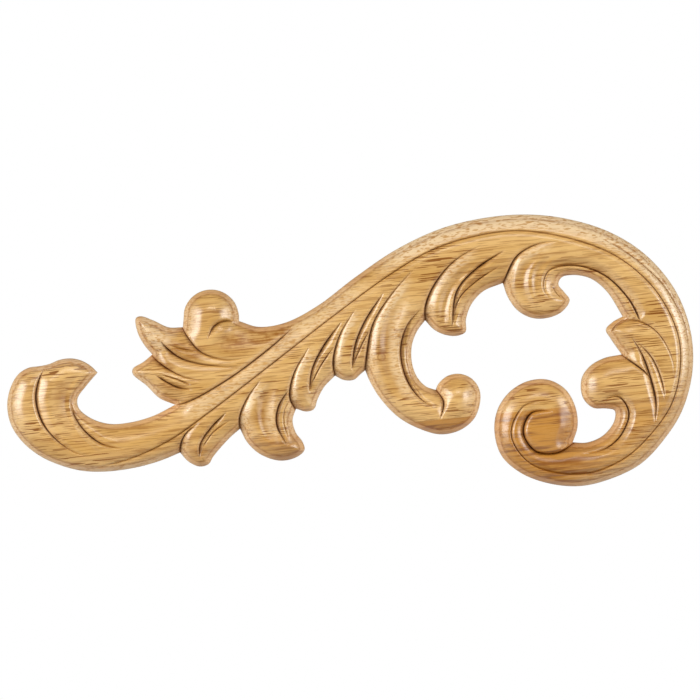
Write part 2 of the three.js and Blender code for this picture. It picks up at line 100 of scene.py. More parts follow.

# How close the points of the mesh are, in squares
EDGE_STEP = 0.5  # distance between the places that the distance from the edge is measured to
STEP = 1.3  # distance between points along a row
EDGE_ROWS = (0.35, 1.2, 2.4, 3.6, 4.3, 4.7, 5, 5.35, 5.8, 6.6, 7.7)  # how far inside the edge its rows lie
CUT_ROWS = (0.45, 1, 1.7, 2.6, 3.8, 5)  # how far from a cut's line the rows beside it lie
FILL = 1.5  # distance between the points of the even fill
CUT_LINE_GAP = 0.5  # least distance of a cut's own points from the edge and from other points
CUT_ROW_GAP = 0.3  # least distance of the rows beside a cut from the edge
EDGE_ROW_SHARE = 0.85  # of its distance from the edge that an edge row keeps in corners
ROW_GAP = 0.45  # least distance of a row's points from others, for a row close to its line
ROW_GAP_GROWTH = 0.1  # how fast that distance grows with the row's distance from its line
FILL_EDGE_GAP = 0.8  # least distance of the fill's points from the edge
FILL_GAP = 0.85  # and from other points
MERGE_GAP = 1e-5  # points closer than this become one

INSIDE_ONLY = 1  # tells the triangulation to fill the ring of the outline alone
SHARP_ANGLE = math.radians(62)  # steeper folds than this are shaded as sharp edges

# The pattern is drawn on squared paper: [column, row], columns run right and rows run down.


def arc(column, row, radius, start, finish, count):
    """Points on a circle from one direction to another, in degrees anticlockwise from the right."""
    turns = np.radians(np.linspace(start, finish, count))
    return [[column + radius * math.cos(turn), row - radius * math.sin(turn)] for turn in turns]


# The round forms: the column and row of each one's middle, and its radius
STEM_BALL = (211.5, 317.3, 27.7)
LEAF_BALL = (457.6, 396.6, 23)
VOLUTE_EYE = (551, 431, 24)

# Places in the wood: the middle of the small knot, and a place on the glue line between the two boards
KNOT = (381.5, 357)
SEAM = (50, 458)

# The outline, anticlockwise as seen from the front. Each stretch ends at the corner where the next starts.
OUTLINE = [
    # hooked tail, over its tip and along the underside
    [[97.8, 372.5], [91.5, 366.2], [82, 360.6], [71, 358.3], [60, 359.8], [50, 363.9], [40, 366.1],
        [29.5, 367.6], [19, 374.2], [11.5, 387], [8, 405], [12, 425], [24, 442.5], [42, 456.5],
        [62, 465.3], [82, 470.4], [105, 471.4], [135, 467.6], [160, 460.8]],
    # first leaf
    [[180.6, 452.4], [188.5, 461], [200, 466.3], [209, 463.9], [213, 457.3], [221, 447.4], [231, 436.8]],
    # second leaf
    [[240.4, 428.6], [247.5, 442], [260.6, 454], [280, 460.4], [296, 457.3], [304.8, 449.8],
        [302.6, 441.4], [296.5, 433.3], [292.8, 420.5]],
    # third leaf
    [[296.2, 408.6], [307, 411.4], [314.4, 408.8], [317.7, 399.5], [324.2, 387.2]],
    # fourth leaf
    [[335.2, 375.6], [344, 379.9], [354, 379.7], [361, 373.8]],
    # fifth leaf, round its ball
    [[365.4, 370.2], [370.3, 381.8], [381, 399], [399, 417.4], [421, 429.2], [441, 434.2], [460, 430],
        [474.5, 418], *arc(*LEAF_BALL, -8, 146, 6)],
    [[435.8, 389.8], [426, 386.2], [417, 376.5], [412, 362], [412, 345.5], [417, 331.5]],
    # sixth leaf
    [[425.2, 320.2], [434, 329.4], [445, 334.7], [457, 335.8], [465.6, 331.8], [466, 319.5],
        [471.3, 304.5], [483, 291.5]],
    # seventh leaf, round its curled tip and along the arch
    [[503, 283], [508, 297], [518, 310.6], [533, 318.1], [549, 317.6], [562.5, 311.2], [569.5, 300],
        [564, 292], [558.3, 284.5], [561.6, 277.4], [574, 275], [591, 278.6], [607, 291.5]],
    # eighth leaf
    [[622.8, 316.4], [613, 321.8], [606, 329.6], [610.8, 338.6]],
    # ninth leaf, under its lobe and round the inside of the scroll
    [[621.8, 354.4], [604, 358.1], [589.5, 366.6], [581.6, 379], [583, 397.5], [593, 407.6], [606, 408.4],
        [614.8, 410.6], [614.2, 421.5], [603, 435.6], [587, 442.4]],
    # volute, round its eye and back along the outside of the scroll
    [[572.6, 442.2], [577.4, 426], [575.3, 407], [565.3, 389.2], [548, 379.6], [528, 381], [510, 391.6],
        [497.8, 409.3], [494.6, 431], [501.6, 455.5], [520.6, 472.6], [548, 483], [580, 485.8],
        [612, 478], [641, 463.2], [664.6, 438.2], [682.2, 409.5], [692.2, 370], [690, 330],
        [674.5, 289.5], [645, 254.6], [609, 232], [567, 219], [528, 214.7], [486, 217.8], [441, 228.7],
        [396, 249.8], [355, 277.6], [318, 305.7], [286, 322.5], [259, 326.8]],
    # ball over the stem
    [[239.3, 321], *arc(*STEM_BALL, 6, 186, 8)],
    # upper pointed leaf
    [[183.3, 327.2], [169, 327.2], [153, 320.1], [141, 316.2], [136.3, 318.4], [138.4, 333],
        [145, 345.2]],
    # lower pointed leaf
    [[152.8, 354.4], [144, 361.8], [133.4, 368.6], [133.4, 374], [147, 385.4], [160, 398]],
    # upper edge of the tail, round the inside of its hook
    [[175.6, 404.6], [154, 415.6], [131, 422.2], [110, 423.8], [91.4, 418.2], [79.2, 408.2],
        [77.8, 398.5], [86, 386.4]],
]

# The cuts. Each row holds a share, left, right, two fades and the cut's line. The share is how much of the
# wood's height the cut takes away. Left and right are how far its banks reach, seen along the line: a short
# bank rolls over and stands proud, and a long one slopes away from the leaf beside it. The fades are the
# lengths over which the cut starts and runs out. Where a fade is 0, the cut runs out through the edge.
CUTS = [
    # tail: the groove round the hook, and the line inside it
    (0.4, 13, 10, 20, 75, [[47, 365], [39.5, 382], [37.3, 400], [44, 422.5], [58, 439.5], [76.5, 452],
        [97, 458]]),
    (0.34, 9, 4, 12, 34, [[72, 402], [75, 415], [86, 431], [102, 443], [126, 449]]),
    # the long line from the tail, along the stem and the outside of the scroll into the volute
    (0.16, 3, 5, 30, 26, [[92, 468], [130, 458.5], [170, 440], [211, 411], [271, 364.8], [330, 318.8],
        [390, 274.8], [430, 251.3], [470, 237.8], [520, 231.3], [580, 242], [619.6, 259.3], [654, 290],
        [675.4, 330.5], [679.3, 362], [671, 402], [648.7, 434.7], [620.4, 459.7], [580, 473.5],
        [530, 463], [510.5, 434], [522, 406.5], [541, 400.4]]),
    # upper side of the stem
    (0.26, 5, 8, 14, 26, [[169, 407.4], [190.4, 400.8], [230.6, 377.7], [270.6, 347.7], [297, 324.5]]),
    # ball over the stem, and the curl on it
    (0.36, 9, 12, 0, 75, [[180, 322], [188, 336.4], [203, 352.5], [228, 360], [252, 357]]),
    (0.28, 10, 4, 10, 12, [[236, 322.5], [226, 321], [215, 326], [208.2, 339.6]]),
    # upper pointed leaf
    (0.42, 7, 11, 14, 70, [[160.8, 339.8], [168, 348], [182, 358], [200, 363.5], [240, 368]]),
    (0.12, 4, 6, 14, 12, [[165.5, 343], [180, 348], [206, 353.5]]),
    (0.36, 8, 11, 0, 44, [[148, 350.5], [160, 362.5], [182, 375.5], [204, 381.5]]),
    # lower pointed leaf
    (0.32, 6, 4, 9, 16, [[156, 374.5], [166, 381], [178, 387], [194, 390]]),
    (0.18, 3, 5, 8, 8, [[160, 374], [175, 378], [193, 385]]),
    # first leaf
    (0.42, 8, 9, 0, 36, [[181, 459], [181, 446], [186, 434], [202.6, 420.6]]),
    (0.32, 7, 3, 16, 8, [[228, 411], [211, 428], [201, 444], [200, 458]]),
    (0.18, 3, 7, 16, 8, [[233, 418.5], [214, 432], [202, 449]]),
    # second leaf
    (0.42, 8, 12, 0, 52, [[242, 436], [240, 418], [248, 397.6], [264, 376]]),
    (0.42, 8, 3, 22, 22, [[291, 387], [279.2, 405.2], [277, 424], [288, 446]]),
    # third leaf
    (0.42, 7, 8, 0, 60, [[299, 414], [290.3, 398], [294.3, 373.5], [312, 343]]),
    (0.34, 7, 3, 26, 8, [[343, 320], [324, 345.5], [312.5, 369], [309.5, 392]]),
    (0.2, 3, 7, 16, 8, [[336, 344], [321, 366], [310.5, 386]]),
    # fourth leaf
    (0.4, 7, 8, 0, 62, [[336.5, 381], [333.3, 362], [339.8, 335.3], [357.4, 306.2]]),
    (0.34, 7, 3, 26, 8, [[384.5, 291.5], [365.6, 320], [355.5, 344], [352, 370]]),
    (0.2, 3, 7, 16, 8, [[372, 325], [362, 345], [352.5, 366]]),
    # fifth leaf, and the step down from its ball
    (0.44, 8, 11, 0, 105, [[365, 377], [366.7, 355], [373, 324], [391, 294.8], [418, 265]]),
    (0.42, 6, 3, 40, 36, [[422.8, 306], [407, 325.5], [400.5, 350], [406, 378], [420, 398.5],
        [435, 407]]),
    (0.42, 7, 10, 0, 16, [[434, 387], [443.5, 401], [442.5, 411], [439, 420]]),
    # sixth leaf
    (0.42, 8, 11, 0, 85, [[426.5, 327], [425, 308], [433.7, 285.3], [453, 262], [484, 243.5]]),
    (0.36, 6, 3, 26, 14, [[505, 250], [476.3, 268.4], [456.7, 290.7], [451.5, 328]]),
    (0.2, 3, 6, 20, 8, [[501, 265.5], [478, 280], [460, 297], [452.5, 316]]),
    # seventh leaf, its curled tip and the line along the arch
    (0.42, 8, 10, 0, 62, [[501.5, 289], [505.5, 277], [516, 256.5], [536, 244.8], [558, 241.5]]),
    (0.38, 9, 5, 70, 8, [[552, 303], [543, 288], [548, 271], [575, 265.8], [604, 275.6], [627.7, 299.2],
        [640, 322.5]]),
    # eighth leaf
    (0.26, 8, 6, 4, 80, [[611, 333], [614.4, 326.8], [622, 320.8], [638, 321.4], [653, 330], [663.5, 343],
        [671.5, 362], [673, 378]]),
    (0.2, 4, 5, 18, 18, [[634, 340], [650.4, 357.3], [660, 379.3], [664, 400]]),
    (0.38, 6, 8, 30, 30, [[629, 335], [640.5, 353], [649.5, 377.4], [654.8, 402], [653.5, 424]]),
    (0.34, 6, 6, 0, 22, [[616, 351], [629.4, 360.8], [644.4, 372.8], [654.3, 386.7]]),
    # ninth leaf
    (0.32, 7, 6, 22, 40, [[601.2, 400.4], [617.8, 396.7], [627.9, 412], [620, 434.8], [603, 449],
        [580, 454]]),
    # eye of the volute
    (0.4, 7, 10, 26, 0, [[552, 410], [530.6, 413], [523, 432], [535, 450.5], [556, 452.5], [580, 438.5]]),
]

# The flutes: shallow round hollows between the cuts, described in the same way
FLUTES = [
    # tail
    (0.14, 5, 20, 16, 30, [[86, 370], [70, 386], [67, 408], [78, 432], [104, 455]]),
    # below the ball over the stem
    (0.08, 13, 12, 16, 40, [[212, 342], [236, 340], [265, 334], [296, 318]]),
    # second leaf
    (0.2, 13, 10, 24, 14, [[277, 378], [267, 398], [266.5, 422], [278, 446]]),
    # fifth leaf
    (0.18, 11, 12, 30, 20, [[411, 288], [394, 318], [388.5, 347], [394, 377], [412, 404]]),
    # sixth leaf
    (0.18, 7, 7, 20, 10, [[472, 266], [450, 288], [443.5, 308], [444, 328]]),
    # seventh leaf
    (0.13, 7, 8, 18, 12, [[540, 253], [524, 270], [522.5, 290], [533, 308]]),
    (0.1, 6, 7, 18, 12, [[553, 255], [538, 271], [536, 290], [543, 306]]),
]

# The fine lines that the solid leaves out, described in the same way
FINE_CUTS = [
    # tail, where the tip slopes down into the hook
    (0.08, 2, 5, 8, 0, [[97, 372], [85, 385], [76, 397], [71.5, 407]]),
    # second leaf
    (0.1, 2, 4, 8, 8, [[291, 398], [285, 410], [284.5, 424], [289, 438]]),
    # fifth leaf
    (0.1, 2, 4, 10, 10, [[413, 314], [406.5, 335], [405.5, 352], [408, 370], [414, 385], [425, 400]]),
    # seventh leaf, under the arch and round the curl
    (0.1, 2, 4, 8, 12, [[558, 269.5], [575, 269.5], [591, 274.5]]),
    (0.12, 2, 4, 6, 6, [[551, 283], [554.5, 292], [563, 300.5]]),
    # the second line on the outside of the scroll
    (0.16, 3.5, 2, 24, 14, [[600, 238], [620, 249.5], [640, 264], [660, 283], [674, 304], [685, 328],
        [688, 344]]),
]

# Paler wood along a line, partly paler end grain and partly painted sheen on lit banks: how pale it is, how
# far it reaches on both sides, over what width and over what length it ends, and the line
PALE_LINES = [
    # the outside of the scroll
    (0.75, 17, 6, 40, [[684, 404], [692, 370], [690, 330], [674.5, 289.5]]),
    (1, 17, 6, 40, [[692, 365], [690, 330], [674.5, 289.5], [645, 254.6], [609, 232], [567, 219],
        [528, 214.7], [486, 217.8], [441, 228.7], [396, 249.8], [368, 268.5]]),
    # the stem, with painted sheen along its lit upper side
    (0.5, 12, 6, 30, [[176, 420], [200, 407], [240, 379], [280, 348], [330, 309], [370, 280]]),
    # the underside of the tail, and of the scroll beside the volute
    (0.5, 8, 5, 20, [[12, 428], [42, 458], [82, 471], [135, 468], [180, 453]]),
    (0.4, 12, 6, 20, [[690, 385], [676, 420], [650, 456], [612, 479], [572, 486]]),
    # the pointed leaves
    (0.7, 12, 6, 10, [[137, 316], [148, 326], [158, 338], [172, 350]]),
    (0.5, 8, 5, 8, [[150, 322], [164, 330], [180, 334]]),
    (0.7, 7, 4, 8, [[134, 370], [144, 380], [154, 390], [164, 400]]),
    # the top of the hook
    (0.45, 9, 6, 16, [[24, 372], [48, 365], [72, 359], [98, 374]]),
    # the outer banks of the second to the seventh leaves, paler end grain with painted sheen
    (0.7, 6, 3, 14, [[247, 436], [244.6, 419], [252, 400], [267, 380]]),
    (0.7, 5, 3, 14, [[301, 410], [294.4, 397.5], [298, 375], [315, 346]]),
    (0.7, 5, 3, 14, [[340.5, 378], [337.4, 362], [343.6, 337], [360.5, 309]]),
    (0.7, 6, 3, 18, [[369.5, 377], [371.2, 355], [377.4, 326], [394.8, 297.4], [412, 277]]),
    (0.6, 6, 3, 18, [[431, 326], [429.6, 309], [437.5, 288], [456, 265.5], [478, 252]]),
    (0.5, 6, 3, 18, [[505.5, 290], [509.5, 279], [519, 260.5], [537.5, 249.5], [555, 246.5]]),
    # the inner sides of the second and fifth leaves
    (0.5, 7, 5, 16, [[282, 392], [272, 408], [271, 424], [281, 444]]),
    (0.6, 8, 5, 16, [[412, 296], [397, 322], [394.5, 350], [400, 378], [415, 402]]),
]

# Darker wood in patches, partly mottled stains and partly painted shade in hollows, described in the same way
STAIN_AND_SHADE_LINES = [
    # the pointed leaves
    (0.9, 10, 7, 8, [[158, 334], [172, 344], [192, 352], [206, 356]]),
    (0.9, 8, 6, 6, [[148, 356], [160, 363], [176, 372]]),
    (0.6, 6, 5, 6, [[158, 378], [172, 386], [188, 391]]),
    # painted shade below the ball over the stem
    (1, 15, 9, 16, [[212, 345], [240, 342], [272, 334], [300, 322]]),
    # the hollow of the second leaf
    (1, 9, 6, 10, [[265, 394], [261, 410], [262, 428]]),
    # the hollow of the fifth leaf
    (0.5, 7, 5, 14, [[389, 316], [383, 340], [383, 360], [388, 382]]),
    # the inner side of the sixth leaf
    (0.6, 5, 4, 8, [[488, 268], [470, 283], [460, 298]]),
    # the hollow of the tail's hook
    (0.6, 8, 6, 10, [[66, 378], [63, 396], [67, 412]]),
    # the volute, below its eye
    (0.8, 9, 6, 12, [[530, 461], [556, 466], [590, 456]]),
    # painted shade on the right side of the eye, over its lit slope
    (0.7, 8, 5, 10, [[554, 400], [561, 414], [562.5, 430], [558, 448]]),
]


def smooth_line(points):
    """A smooth centripetal curve through given points, as a row of short straight steps."""
    set_by_hand = np.array(points, dtype=float)
    ahead, behind = 2 * set_by_hand[0] - set_by_hand[1], 2 * set_by_hand[-1] - set_by_hand[-2]
    row = np.vstack((ahead, set_by_hand, behind))
    share = np.linspace(0, 1, CURVE_STEPS, endpoint=False)[:, None]
    pieces = []
    for before, start, finish, after in zip(row, row[1:], row[2:], row[3:]):
        gap_in, gap, gap_out = (
            math.sqrt(np.linalg.norm(b - a)) for a, b in ((before, start), (start, finish), (finish, after))
        )
        leave = (start - before) / gap_in - (finish - before) / (gap_in + gap) + (finish - start) / gap
        arrive = (finish - start) / gap - (after - start) / (gap + gap_out) + (after - finish) / gap_out
        leave, arrive = leave * gap, arrive * gap
        square = 3 * (finish - start) - 2 * leave - arrive
        cube = 2 * (start - finish) + leave + arrive
        pieces.append(start + leave * share + square * share**2 + cube * share**3)
    return np.vstack((*pieces, set_by_hand[-1]))


def equal_steps(line, step):
    """The same line in steps of equal length, close to the length asked for."""
    reach = np.concatenate(([0], np.cumsum(np.hypot(*np.diff(line, axis=0).T))))
    places = np.linspace(0, reach[-1], max(2, round(reach[-1] / step) + 1))
    return np.column_stack([np.interp(places, reach, line[:, axis]) for axis in (0, 1)])


def beside_line(line, offset):
    """The points of a line moved sideways, to its right when the offset is positive."""
    ahead = np.gradient(line, axis=0)
    ahead /= np.linalg.norm(ahead, axis=1)[:, None]
    return line + offset * np.column_stack((-ahead[:, 1], ahead[:, 0]))


def nearest(line, points):
    """How far each point is from a line, whether on its right, how far along, and the line's length."""
    gap = np.full(len(points), np.inf)
    on_right = np.zeros(len(points), dtype=bool)
    along = np.zeros(len(points))
    length = 0
    for start, go in zip(line, np.diff(line, axis=0)):
        step = math.hypot(*go)
        away = points - start
        share = np.clip(away @ go / step**2, 0, 1)
        here = np.hypot(away[:, 0] - share * go[0], away[:, 1] - share * go[1])
        closer = here < gap
        gap[closer] = here[closer]
        on_right[closer] = (go[0] * away[:, 1] - go[1] * away[:, 0] > 0)[closer]
        along[closer] = (length + share * step)[closer]
        length += step
    return gap, on_right, along, length


# The outline in short steps, and the scale of the paper, which the frame gives
stretches = [
    smooth_line(points + [OUTLINE[(i + 1) % len(OUTLINE)][0]]) for i, points in enumerate(OUTLINE)
]
outline = np.vstack([line[:-1] for line in stretches])
paper_low, paper_high = outline.min(axis=0), outline.max(axis=0)
middle = (paper_low + paper_high) / 2
SQUARE = (scroll_high.x - scroll_low.x) / (paper_high[0] - paper_low[0])  # one square's side, in metres

edge_line = np.vstack([equal_steps(line, EDGE_STEP)[:-1] for line in stretches])
edge_tree = KDTree(len(edge_line))
for place, point in enumerate(edge_line):
    edge_tree.insert((*point, 0), place)
edge_tree.balance()


def from_paper(column, row):
    """The X and Z of a place on the paper."""
    return (column - middle[0]) * SQUARE, (middle[1] - row) * SQUARE


def is_inside(points):
    """Which points lie within the outline."""
    inside = np.zeros(len(points), dtype=bool)
    for (column_a, row_a), (column_b, row_b) in zip(outline, np.roll(outline, -1, axis=0)):
        if row_a == row_b:
            continue
        crosses = (row_a > points[:, 1]) != (row_b > points[:, 1])
        meets = column_a + (column_b - column_a) * (points[:, 1] - row_a) / (row_b - row_a)
        inside ^= crosses & (points[:, 0] < meets)
    return inside


def edge_distance(points):
    """How far each point is from the outline."""
    closest = np.array([edge_tree.find((column, row, 0))[1] for column, row in points])
    gap = np.full(len(points), np.inf)
    for step in (-1, 0):
        start = edge_line[(closest + step) % len(edge_line)]
        go = edge_line[(closest + step + 1) % len(edge_line)] - start
        away = points - start
        share = np.clip((away * go).sum(axis=1) / (go**2).sum(axis=1), 0, 1)[:, None]
        gap = np.minimum(gap, np.linalg.norm(away - share * go, axis=1))
    return gap


def rounded(share):
    """The depth of a rounded shoulder: 1 at the bottom of its cut, and 0 where the shoulder ends."""
    return 1 - np.sqrt(1 - (1 - share) ** 2)


def beside_cut(cut, points):
    """Which points a cut or flute reaches, and what it is like beside each of those.

    That is: how deep it runs there, how far it has faded in, the gap to its line, the width of the bank on
    the point's side, and whether that bank rolls over.
    """
    share, left, right, fade_in, fade_out, hand_set = cut
    line = smooth_line(hand_set)
    reach = max(left, right)
    near = np.all((points > line.min(axis=0) - reach) & (points < line.max(axis=0) + reach), axis=1)
    gap, on_right, along, length = nearest(line, points[near])
    fade = np.minimum(1, along / fade_in) if fade_in else np.ones(len(gap))
    if fade_out:
        fade = fade * np.minimum(1, (length - along) / fade_out)
    bank = np.where(on_right, right, left) * (BANK_LEAST + (1 - BANK_LEAST) * fade)
    rolls = np.where(on_right, right <= left, left <= right)
    return near, share * fade, fade, gap, bank, rolls


def cut_section(run, gap, bank, rolls):
    """The share of a cut's depth at a distance from its line: a notch, and a rolled or a hollow bank."""
    across = np.clip(gap / bank, 0, 1)
    notch_width = NOTCH_WIDTH * (NOTCH_LEAST + NOTCH_GROWTH * run) / SQUARE
    notch = np.clip(gap / np.minimum(notch_width, bank), 0, 1)
    bank_depth = np.where(rolls, rounded(across), (1 - across) ** BANK_HOLLOW)
    notch_share = np.where(rolls, STEEP_NOTCH, GENTLE_NOTCH)
    return notch_share * rounded(notch) + (1 - notch_share) * bank_depth


def flute_section(gap, bank):
    """The share of a flute's depth at a distance from its line."""
    return (1 - np.clip(gap / bank, 0, 1) ** 2) ** 2


def carve(points):
    """The share of the height that is cut away at each point, and the painted shade in the cuts and in the
    flutes.
    """
    taken = np.zeros(len(points))
    crease_shade = np.zeros(len(points))
    hollow = np.zeros(len(points))
    for cut in CUTS + FINE_CUTS:
        near, run, fade, gap, bank, rolls = beside_cut(cut, points)
        taken[near] += (run * cut_section(run, gap, bank, rolls)) ** BLEND
        spread = CREASE_SHADE_WIDTH + CREASE_SHADE_WIDTH_GROWTH * run
        dark = np.clip(CREASE_SHADE_LEAST * fade + CREASE_SHADE_GROWTH * run, 0, 1) * np.exp(-((gap / spread) ** 2))
        crease_shade[near] = np.maximum(crease_shade[near], dark)
    for flute in FLUTES:
        near, run, _, gap, bank, _ = beside_cut(flute, points)
        depth = run * flute_section(gap, bank)
        taken[near] += depth**BLEND
        # painted shade, deeper where the flute is deeper
        hollow[near] = np.maximum(hollow[near], HOLLOW_SHADE_GROWTH * (depth - HOLLOW_SHADE_START))
    return taken ** (1 / BLEND), crease_shade, hollow


def ball_rise(points):
    """How far the balls and the volute's eye rise above the wood round them."""
    rise = np.zeros(len(points))
    for column, row, radius in (STEM_BALL, LEAF_BALL, VOLUTE_EYE):
        across = np.hypot(points[:, 0] - column, points[:, 1] - row) / radius
        rise = np.maximum(rise, BALL_HEIGHT * (1 - across**2))
    return rise


def along_lines(lines, points):
    """How strongly each point takes on what a table of lines says of the wood round them."""
    amount = np.zeros(len(points))
    for strength, reach, softness, fade_length, hand_set in lines:
        gap, _, along, length = nearest(smooth_line(hand_set), points)
        fade = np.clip(along / fade_length, 0, 1) * np.clip((length - along) / fade_length, 0, 1)
        amount = np.maximum(amount, strength * fade * np.clip((reach - gap) / softness, 0, 1))
    return amount


def carved_face(points, from_edge):
    """The face's height above the back at each point, and the looks that the wood's shader reads there."""
    depth = from_edge * SQUARE
    bevel = np.clip(depth / BEVEL_WIDTH, 0, 1)
    roll = np.clip((depth - BEVEL_WIDTH) / ROLL_WIDTH, 0, 1)
    crown = np.clip(depth / CROWN_REACH, 0, 1)
    line = np.exp(-(((depth - BEVEL_WIDTH) / LINE_WIDTH) ** 2))
    uncut = EDGE_HEIGHT + BEVEL_HEIGHT * bevel - LINE_DEPTH * line
    uncut += ROLL_HEIGHT * np.sin(roll * math.pi / 2)
    uncut += CROWN_HEIGHT * np.sin(crown * math.pi / 2) + ball_rise(points) * roll
    taken, crease_shade, hollow = carve(points)
    # painted shade in the cuts and flutes, pale lines that are partly painted sheen, darker patches partly
    # painted shade
    looks = {
        "crease_shade": crease_shade,
        "rim_line": line,
        "hollow": hollow,
        "pale": along_lines(PALE_LINES, points),
        "stain_and_shade": along_lines(STAIN_AND_SHADE_LINES, points),
        "edge": np.clip((BEVEL_WIDTH - depth) / LINE_WIDTH, 0, 1),
    }
    return uncut * (1 - taken), looks


def face_rows():
    """Rows of points for the face, each with its least distances from the edge and others, and if joined."""
    cuts = CUTS + FINE_CUTS
    cut_lines = [equal_steps(smooth_line(points), STEP) for *_, points in cuts]
    rows = [(line, CUT_LINE_GAP, CUT_LINE_GAP, True) for line in cut_lines]
    for offset in CUT_ROWS:
        apart = ROW_GAP + ROW_GAP_GROWTH * offset
        for line, (_, left, right, *_) in zip(cut_lines, cuts):
            sides = [side * offset for side, bank in ((-1, left), (1, right)) if offset < bank]
            rows += [(beside_line(line, side), CUT_ROW_GAP, apart, False) for side in sides]
    for offset in EDGE_ROWS:
        apart = ROW_GAP + ROW_GAP_GROWTH * offset
        for line in stretches:
            row = beside_line(equal_steps(line, STEP), -offset)
            rows.append((row, EDGE_ROW_SHARE * offset, apart, False))
    row_gap = FILL * math.sqrt(3) / 2
    width, height = paper_high - paper_low
    fill = [
        (paper_low[0] + FILL * (i + j % 2 / 2), paper_low[1] + row_gap * j)
        for j in range(int(height / row_gap))
        for i in range(int(width / FILL))
    ]
    rows.append((np.array(fill), FILL_EDGE_GAP, FILL_GAP, False))
    return rows


def cell_of(point):
    """The square of the paper that a point lies in."""
    return int(point[0]), int(point[1])


def scattered_points():
    """The face's points, how many of them lie on the outline, and the edges that join them."""
    rim = np.vstack([equal_steps(line, STEP)[:-1] for line in stretches])
    rows = face_rows()
    candidates = np.vstack([row for row, *_ in rows])
    fits = iter(zip(is_inside(candidates), edge_distance(candidates)))
    points = [tuple(point) for point in rim]
    edges = [(i, (i + 1) % len(rim)) for i in range(len(rim))]
    cells = {}
    for point in points:
        cells.setdefault(cell_of(point), []).append(point)
    for row, from_edge, apart, joined in rows:
        before = None
        for point in map(tuple, row):
            inside, distance = next(fits)
            if not inside or distance <= from_edge:
                continue
            column, square_row = cell_of(point)
            near = (cells.get((column + i, square_row + j), ()) for i in (-1, 0, 1) for j in (-1, 0, 1))
            if any(math.dist(other, point) < apart for cell in near for other in cell):
                continue
            cells.setdefault(cell_of(point), []).append(point)
            points.append(point)
            if joined and before is not None:
                edges.append((before, len(points) - 1))
            before = len(points) - 1
    return points, len(rim), edges


def filled(points, edges, ring_count):
    """Triangles inside a ring of points, the first in the list: points, triangles and the points' origins."""
    flat = [Vector(point) for point in points]
    ring = list(range(ring_count))
    points, _, faces, origins, *_ = delaunay_2d_cdt(flat, edges, [ring], INSIDE_ONLY, MERGE_GAP)
    return points, faces, origins


def ring_round(faces):
    """The points along the open edge of a sheet of faces, in order."""
    sides = {(a, b) for face in faces for a, b in zip(face, face[1:] + face[:1])}
    follows = {a: b for a, b in sides if (b, a) not in sides}
    ring = [next(iter(follows))]
    while follows[ring[-1]] != ring[0]:
        ring.append(follows[ring[-1]])
    return ring


def carved_mesh():
    """The closed fine mesh, with carved face, upright edge and flat back: its points, faces and looks."""
    points, rim_count, edges = scattered_points()
    points, faces, _ = filled(points, edges, rim_count)
    points = np.array([tuple(point) for point in points])
    ring = ring_round(faces)
    from_edge = edge_distance(points)
    from_edge[ring] = 0
    height, looks = carved_face(points, from_edge)
    right, up = from_paper(points[:, 0], points[:, 1])
    front = np.column_stack((right, -height, up))
    rear = front[ring] * (1, 0, 1)
    steps = [(i, (i + 1) % len(ring)) for i in range(len(ring))]
    _, back, origins = filled([Vector((x, z)) / SQUARE for x, _, z in rear], steps, len(ring))
    corner = [len(front) + ids[0] for ids in origins]
    everything = [tuple(reversed(face)) for face in faces]
    everything += [(ring[i], ring[j], len(front) + j, len(front) + i) for i, j in steps]
    everything += [tuple(corner[i] for i in reversed(face)) for face in back]
    return np.vstack((front, rear)), everything, looks


def add_attribute(mesh, name, values):
    """A number at each point of the mesh, for the wood's shader to read. Points without one get 0."""
    column = np.zeros(len(mesh.vertices), dtype=np.float32)
    column[: len(values)] = values
    mesh.attributes.new(name, "FLOAT", "POINT").data.foreach_set("value", column)


def make_scroll(wood):
    """The carved scroll, in place of the faceted solid."""
    vertices, faces, looks = carved_mesh()
    mesh = bpy.data.meshes.new("carved_scroll_wood")
    mesh.from_pydata(vertices.tolist(), [], faces)
    mesh.shade_smooth()
    mesh.set_sharp_from_angle(angle=SHARP_ANGLE)
    for name, values in looks.items():
        add_attribute(mesh, name, values)
    mesh.materials.append(wood)
    scroll = bpy.data.objects.new("carved_scroll_wood", mesh)
    bpy.context.collection.objects.link(scroll)
    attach(scroll, "root")
    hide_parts("carved_scroll")


